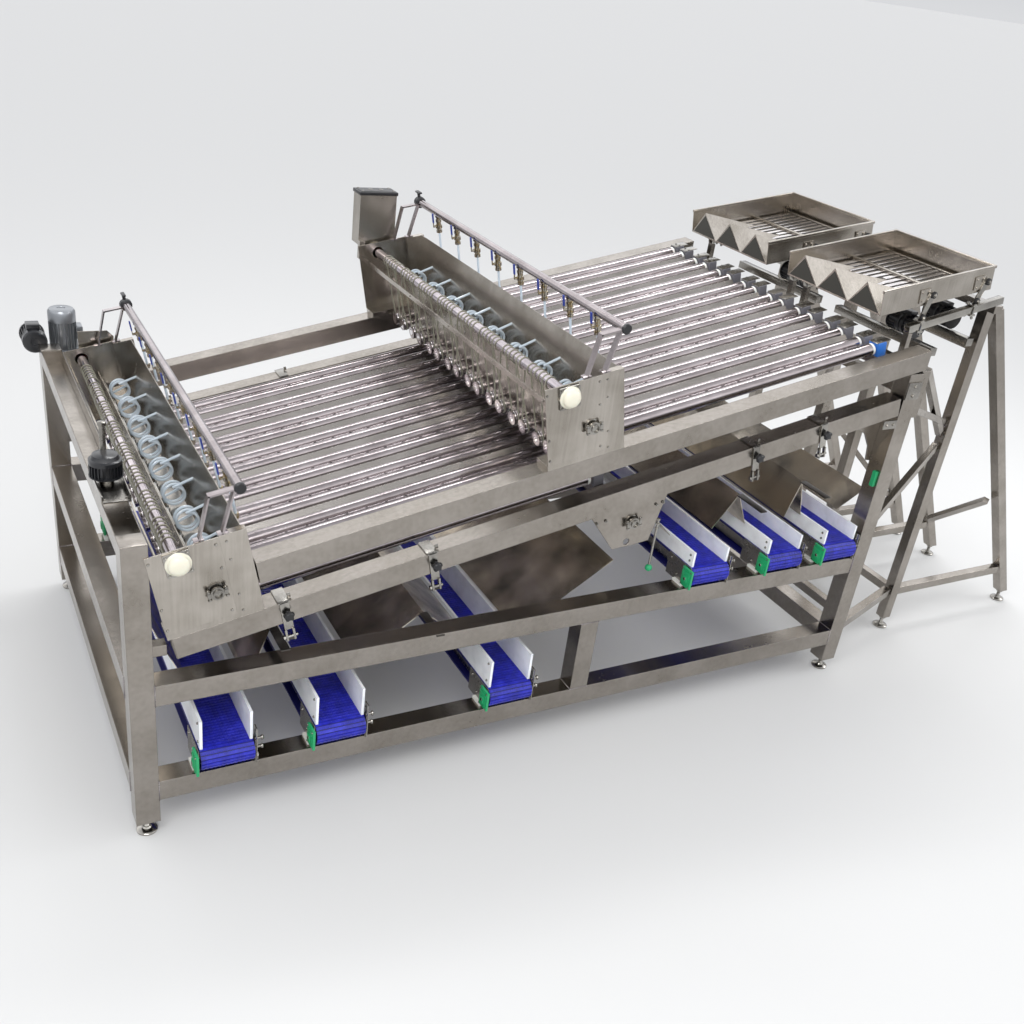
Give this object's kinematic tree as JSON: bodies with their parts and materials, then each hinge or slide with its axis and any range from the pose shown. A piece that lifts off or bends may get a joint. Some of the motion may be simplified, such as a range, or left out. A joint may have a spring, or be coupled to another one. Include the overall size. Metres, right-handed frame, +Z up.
{
  "type": "roller grading machine",
  "caption": "Two-stage roller size grader: inclined decks of counter-rotating rollers, belt drives on bridges, vibrating feed trays and cross conveyors below.",
  "frame": {"origin": "on the floor under the middle of the whole machine's box", "axes": "+X along the machine towards the feeding end, +Y across to the back, +Z up"},
  "size_m": [4.773, 1.9448, 1.8959],
  "materials": {
    "stainless_tube": "ground and brushed stainless steel",
    "stainless_sheet": "cold-rolled stainless sheet, lightly scratched",
    "polished_tube": "polished stainless tube",
    "bearing_plastic": "ivory moulded bearing housings",
    "brass_valve": "machined brass and plated fittings",
    "clear_hose": "clear flexible hose",
    "drive_cord": "round elastic drive belt",
    "motor_paint": "dark painted castings",
    "belt_plastic": "blue hinged plastic belt",
    "guide_plastic": "white machined plastic board"
  },
  "bodies": {
    "machine": {"bearing_blocks": "bearing_plastic", "belt_side_guides": "guide_plastic", "bridge_housings": "stainless_sheet", "chute_clamps": "stainless_sheet", "conveyor_belts": "belt_plastic", "conveyor_frames": "stainless_sheet", "cross_members": "stainless_tube", "deck_rails": "stainless_tube", "discharge_chutes": "stainless_sheet", "drive_motors": "motor_paint", "infeed_stands": "stainless_tube", "lane_dividers": "stainless_sheet", "levelling_feet": "stainless_tube", "roller_drive_belts": "drive_cord", "side_frames": "stainless_tube", "spray_hoses": "clear_hose", "spray_pipes": "polished_tube", "tray_drives": "motor_paint", "upper_drive_box": "stainless_sheet", "water_manifolds": "polished_tube"},
    "back_feeding_tray": {"back_feeding_tray": "stainless_sheet"},
    "front_feeding_tray": {"front_feeding_tray": "stainless_sheet"},
    "high_belt_drive_rollers": {"high_belt_drive_rollers": "polished_tube"},
    "high_belt_end_rollers": {"high_belt_end_rollers": "polished_tube"},
    "low_belt_drive_rollers": {"low_belt_drive_rollers": "polished_tube"},
    "low_belt_end_rollers": {"low_belt_end_rollers": "polished_tube"},
    "lower_line_shaft": {"lower_line_shaft": "polished_tube"},
    "lower_roller_01": {"lower_roller_01": "polished_tube"},
    "lower_roller_02": {"lower_roller_02": "polished_tube"},
    "lower_roller_03": {"lower_roller_03": "polished_tube"},
    "lower_roller_04": {"lower_roller_04": "polished_tube"},
    "lower_roller_05": {"lower_roller_05": "polished_tube"},
    "lower_roller_06": {"lower_roller_06": "polished_tube"},
    "lower_roller_07": {"lower_roller_07": "polished_tube"},
    "lower_roller_08": {"lower_roller_08": "polished_tube"},
    "lower_roller_09": {"lower_roller_09": "polished_tube"},
    "lower_roller_10": {"lower_roller_10": "polished_tube"},
    "lower_roller_11": {"lower_roller_11": "polished_tube"},
    "lower_roller_12": {"lower_roller_12": "polished_tube"},
    "lower_roller_13": {"lower_roller_13": "polished_tube"},
    "lower_roller_14": {"lower_roller_14": "polished_tube"},
    "lower_roller_15": {"lower_roller_15": "polished_tube"},
    "lower_roller_16": {"lower_roller_16": "polished_tube"},
    "upper_line_shaft": {"upper_line_shaft": "polished_tube"},
    "upper_roller_01": {"upper_roller_01": "polished_tube"},
    "upper_roller_02": {"upper_roller_02": "polished_tube"},
    "upper_roller_03": {"upper_roller_03": "polished_tube"},
    "upper_roller_04": {"upper_roller_04": "polished_tube"},
    "upper_roller_05": {"upper_roller_05": "polished_tube"},
    "upper_roller_06": {"upper_roller_06": "polished_tube"},
    "upper_roller_07": {"upper_roller_07": "polished_tube"},
    "upper_roller_08": {"upper_roller_08": "polished_tube"},
    "upper_roller_09": {"upper_roller_09": "polished_tube"},
    "upper_roller_10": {"upper_roller_10": "polished_tube"},
    "upper_roller_11": {"upper_roller_11": "polished_tube"},
    "upper_roller_12": {"upper_roller_12": "polished_tube"},
    "upper_roller_13": {"upper_roller_13": "polished_tube"},
    "upper_roller_14": {"upper_roller_14": "polished_tube"},
    "upper_roller_15": {"upper_roller_15": "polished_tube"},
    "upper_roller_16": {"upper_roller_16": "polished_tube"}
  },
  "joints": [
    {"name": "upper_shaft_spin", "type": "hinge", "parent": "machine", "child": "upper_line_shaft", "pos_m": [-0.84956, -0.0525, 1.5297], "axis": [0, 1, 0], "continuous": true},
    {"name": "upper_roller_01_spin", "type": "hinge", "parent": "machine", "child": "upper_roller_01", "pos_m": [-0.79308, -0.7795, 1.26769], "axis": [0.9806, 0, 0.1961], "continuous": true},
    {"name": "upper_roller_02_spin", "type": "hinge", "parent": "machine", "child": "upper_roller_02", "pos_m": [-0.79308, -0.6975, 1.26769], "axis": [0.9806, 0, 0.1961], "continuous": true},
    {"name": "upper_roller_03_spin", "type": "hinge", "parent": "machine", "child": "upper_roller_03", "pos_m": [-0.79308, -0.5835, 1.26769], "axis": [0.9806, 0, 0.1961], "continuous": true},
    {"name": "upper_roller_04_spin", "type": "hinge", "parent": "machine", "child": "upper_roller_04", "pos_m": [-0.79308, -0.5015, 1.26769], "axis": [0.9806, 0, 0.1961], "continuous": true},
    {"name": "upper_roller_05_spin", "type": "hinge", "parent": "machine", "child": "upper_roller_05", "pos_m": [-0.79308, -0.3875, 1.26769], "axis": [0.9806, 0, 0.1961], "continuous": true},
    {"name": "upper_roller_06_spin", "type": "hinge", "parent": "machine", "child": "upper_roller_06", "pos_m": [-0.79308, -0.3055, 1.26769], "axis": [0.9806, 0, 0.1961], "continuous": true},
    {"name": "upper_roller_07_spin", "type": "hinge", "parent": "machine", "child": "upper_roller_07", "pos_m": [-0.79308, -0.1915, 1.26769], "axis": [0.9806, 0, 0.1961], "continuous": true},
    {"name": "upper_roller_08_spin", "type": "hinge", "parent": "machine", "child": "upper_roller_08", "pos_m": [-0.79308, -0.1095, 1.26769], "axis": [0.9806, 0, 0.1961], "continuous": true},
    {"name": "upper_roller_09_spin", "type": "hinge", "parent": "machine", "child": "upper_roller_09", "pos_m": [-0.79308, 0.0045, 1.26769], "axis": [0.9806, 0, 0.1961], "continuous": true},
    {"name": "upper_roller_10_spin", "type": "hinge", "parent": "machine", "child": "upper_roller_10", "pos_m": [-0.79308, 0.0865, 1.26769], "axis": [0.9806, 0, 0.1961], "continuous": true},
    {"name": "upper_roller_11_spin", "type": "hinge", "parent": "machine", "child": "upper_roller_11", "pos_m": [-0.79308, 0.2005, 1.26769], "axis": [0.9806, 0, 0.1961], "continuous": true},
    {"name": "upper_roller_12_spin", "type": "hinge", "parent": "machine", "child": "upper_roller_12", "pos_m": [-0.79308, 0.2825, 1.26769], "axis": [0.9806, 0, 0.1961], "continuous": true},
    {"name": "upper_roller_13_spin", "type": "hinge", "parent": "machine", "child": "upper_roller_13", "pos_m": [-0.79308, 0.3965, 1.26769], "axis": [0.9806, 0, 0.1961], "continuous": true},
    {"name": "upper_roller_14_spin", "type": "hinge", "parent": "machine", "child": "upper_roller_14", "pos_m": [-0.79308, 0.4785, 1.26769], "axis": [0.9806, 0, 0.1961], "continuous": true},
    {"name": "upper_roller_15_spin", "type": "hinge", "parent": "machine", "child": "upper_roller_15", "pos_m": [-0.79308, 0.5925, 1.26769], "axis": [0.9806, 0, 0.1961], "continuous": true},
    {"name": "upper_roller_16_spin", "type": "hinge", "parent": "machine", "child": "upper_roller_16", "pos_m": [-0.79308, 0.6745, 1.26769], "axis": [0.9806, 0, 0.1961], "continuous": true},
    {"name": "lower_shaft_spin", "type": "hinge", "parent": "machine", "child": "lower_line_shaft", "pos_m": [-2.16255, -0.0525, 1.0831], "axis": [0, 1, 0], "continuous": true},
    {"name": "lower_roller_01_spin", "type": "hinge", "parent": "machine", "child": "lower_roller_01", "pos_m": [-2.10607, -0.7795, 0.82109], "axis": [0.9806, 0, 0.1961], "continuous": true},
    {"name": "lower_roller_02_spin", "type": "hinge", "parent": "machine", "child": "lower_roller_02", "pos_m": [-2.10607, -0.6975, 0.82109], "axis": [0.9806, 0, 0.1961], "continuous": true},
    {"name": "lower_roller_03_spin", "type": "hinge", "parent": "machine", "child": "lower_roller_03", "pos_m": [-2.10607, -0.5835, 0.82109], "axis": [0.9806, 0, 0.1961], "continuous": true},
    {"name": "lower_roller_04_spin", "type": "hinge", "parent": "machine", "child": "lower_roller_04", "pos_m": [-2.10607, -0.5015, 0.82109], "axis": [0.9806, 0, 0.1961], "continuous": true},
    {"name": "lower_roller_05_spin", "type": "hinge", "parent": "machine", "child": "lower_roller_05", "pos_m": [-2.10607, -0.3875, 0.82109], "axis": [0.9806, 0, 0.1961], "continuous": true},
    {"name": "lower_roller_06_spin", "type": "hinge", "parent": "machine", "child": "lower_roller_06", "pos_m": [-2.10607, -0.3055, 0.82109], "axis": [0.9806, 0, 0.1961], "continuous": true},
    {"name": "lower_roller_07_spin", "type": "hinge", "parent": "machine", "child": "lower_roller_07", "pos_m": [-2.10607, -0.1915, 0.82109], "axis": [0.9806, 0, 0.1961], "continuous": true},
    {"name": "lower_roller_08_spin", "type": "hinge", "parent": "machine", "child": "lower_roller_08", "pos_m": [-2.10607, -0.1095, 0.82109], "axis": [0.9806, 0, 0.1961], "continuous": true},
    {"name": "lower_roller_09_spin", "type": "hinge", "parent": "machine", "child": "lower_roller_09", "pos_m": [-2.10607, 0.0045, 0.82109], "axis": [0.9806, 0, 0.1961], "continuous": true},
    {"name": "lower_roller_10_spin", "type": "hinge", "parent": "machine", "child": "lower_roller_10", "pos_m": [-2.10607, 0.0865, 0.82109], "axis": [0.9806, 0, 0.1961], "continuous": true},
    {"name": "lower_roller_11_spin", "type": "hinge", "parent": "machine", "child": "lower_roller_11", "pos_m": [-2.10607, 0.2005, 0.82109], "axis": [0.9806, 0, 0.1961], "continuous": true},
    {"name": "lower_roller_12_spin", "type": "hinge", "parent": "machine", "child": "lower_roller_12", "pos_m": [-2.10607, 0.2825, 0.82109], "axis": [0.9806, 0, 0.1961], "continuous": true},
    {"name": "lower_roller_13_spin", "type": "hinge", "parent": "machine", "child": "lower_roller_13", "pos_m": [-2.10607, 0.3965, 0.82109], "axis": [0.9806, 0, 0.1961], "continuous": true},
    {"name": "lower_roller_14_spin", "type": "hinge", "parent": "machine", "child": "lower_roller_14", "pos_m": [-2.10607, 0.4785, 0.82109], "axis": [0.9806, 0, 0.1961], "continuous": true},
    {"name": "lower_roller_15_spin", "type": "hinge", "parent": "machine", "child": "lower_roller_15", "pos_m": [-2.10607, 0.5925, 0.82109], "axis": [0.9806, 0, 0.1961], "continuous": true},
    {"name": "lower_roller_16_spin", "type": "hinge", "parent": "machine", "child": "lower_roller_16", "pos_m": [-2.10607, 0.6745, 0.82109], "axis": [0.9806, 0, 0.1961], "continuous": true},
    {"name": "low_belt_drive_spin", "type": "hinge", "parent": "machine", "child": "low_belt_drive_rollers", "pos_m": [-2.1105, 0.8105, 0.289], "axis": [1, 0, 0], "continuous": true},
    {"name": "low_belt_end_spin", "type": "hinge", "parent": "machine", "child": "low_belt_end_rollers", "pos_m": [-2.1105, -0.9155, 0.289], "axis": [1, 0, 0], "continuous": true},
    {"name": "high_belt_drive_spin", "type": "hinge", "parent": "machine", "child": "high_belt_drive_rollers", "pos_m": [-0.1285, 0.8105, 0.687], "axis": [1, 0, 0], "continuous": true},
    {"name": "high_belt_end_spin", "type": "hinge", "parent": "machine", "child": "high_belt_end_rollers", "pos_m": [-0.1285, -0.9155, 0.687], "axis": [1, 0, 0], "continuous": true},
    {"name": "front_tray_shake", "type": "slide", "parent": "machine", "child": "front_feeding_tray", "axis": [0.9874, 0, 0.1582], "range_m": [-0.003, 0.003]},
    {"name": "back_tray_shake", "type": "slide", "parent": "machine", "child": "back_feeding_tray", "axis": [0.9874, 0, 0.1582], "range_m": [-0.003, 0.003]}
  ],
  "couplings": [
    {"joint": "upper_roller_01_spin", "follows": "upper_shaft_spin", "ratio": 0.7407},
    {"joint": "upper_roller_02_spin", "follows": "upper_shaft_spin", "ratio": -0.7407},
    {"joint": "upper_roller_03_spin", "follows": "upper_shaft_spin", "ratio": 0.7407},
    {"joint": "upper_roller_04_spin", "follows": "upper_shaft_spin", "ratio": -0.7407},
    {"joint": "upper_roller_05_spin", "follows": "upper_shaft_spin", "ratio": 0.7407},
    {"joint": "upper_roller_06_spin", "follows": "upper_shaft_spin", "ratio": -0.7407},
    {"joint": "upper_roller_07_spin", "follows": "upper_shaft_spin", "ratio": 0.7407},
    {"joint": "upper_roller_08_spin", "follows": "upper_shaft_spin", "ratio": -0.7407},
    {"joint": "upper_roller_09_spin", "follows": "upper_shaft_spin", "ratio": 0.7407},
    {"joint": "upper_roller_10_spin", "follows": "upper_shaft_spin", "ratio": -0.7407},
    {"joint": "upper_roller_11_spin", "follows": "upper_shaft_spin", "ratio": 0.7407},
    {"joint": "upper_roller_12_spin", "follows": "upper_shaft_spin", "ratio": -0.7407},
    {"joint": "upper_roller_13_spin", "follows": "upper_shaft_spin", "ratio": 0.7407},
    {"joint": "upper_roller_14_spin", "follows": "upper_shaft_spin", "ratio": -0.7407},
    {"joint": "upper_roller_15_spin", "follows": "upper_shaft_spin", "ratio": 0.7407},
    {"joint": "upper_roller_16_spin", "follows": "upper_shaft_spin", "ratio": -0.7407},
    {"joint": "lower_roller_01_spin", "follows": "lower_shaft_spin", "ratio": 0.7407},
    {"joint": "lower_roller_02_spin", "follows": "lower_shaft_spin", "ratio": -0.7407},
    {"joint": "lower_roller_03_spin", "follows": "lower_shaft_spin", "ratio": 0.7407},
    {"joint": "lower_roller_04_spin", "follows": "lower_shaft_spin", "ratio": -0.7407},
    {"joint": "lower_roller_05_spin", "follows": "lower_shaft_spin", "ratio": 0.7407},
    {"joint": "lower_roller_06_spin", "follows": "lower_shaft_spin", "ratio": -0.7407},
    {"joint": "lower_roller_07_spin", "follows": "lower_shaft_spin", "ratio": 0.7407},
    {"joint": "lower_roller_08_spin", "follows": "lower_shaft_spin", "ratio": -0.7407},
    {"joint": "lower_roller_09_spin", "follows": "lower_shaft_spin", "ratio": 0.7407},
    {"joint": "lower_roller_10_spin", "follows": "lower_shaft_spin", "ratio": -0.7407},
    {"joint": "lower_roller_11_spin", "follows": "lower_shaft_spin", "ratio": 0.7407},
    {"joint": "lower_roller_12_spin", "follows": "lower_shaft_spin", "ratio": -0.7407},
    {"joint": "lower_roller_13_spin", "follows": "lower_shaft_spin", "ratio": 0.7407},
    {"joint": "lower_roller_14_spin", "follows": "lower_shaft_spin", "ratio": -0.7407},
    {"joint": "lower_roller_15_spin", "follows": "lower_shaft_spin", "ratio": 0.7407},
    {"joint": "lower_roller_16_spin", "follows": "lower_shaft_spin", "ratio": -0.7407},
    {"joint": "low_belt_end_spin", "follows": "low_belt_drive_spin", "ratio": 1},
    {"joint": "high_belt_end_spin", "follows": "high_belt_drive_spin", "ratio": 1}
  ]
}
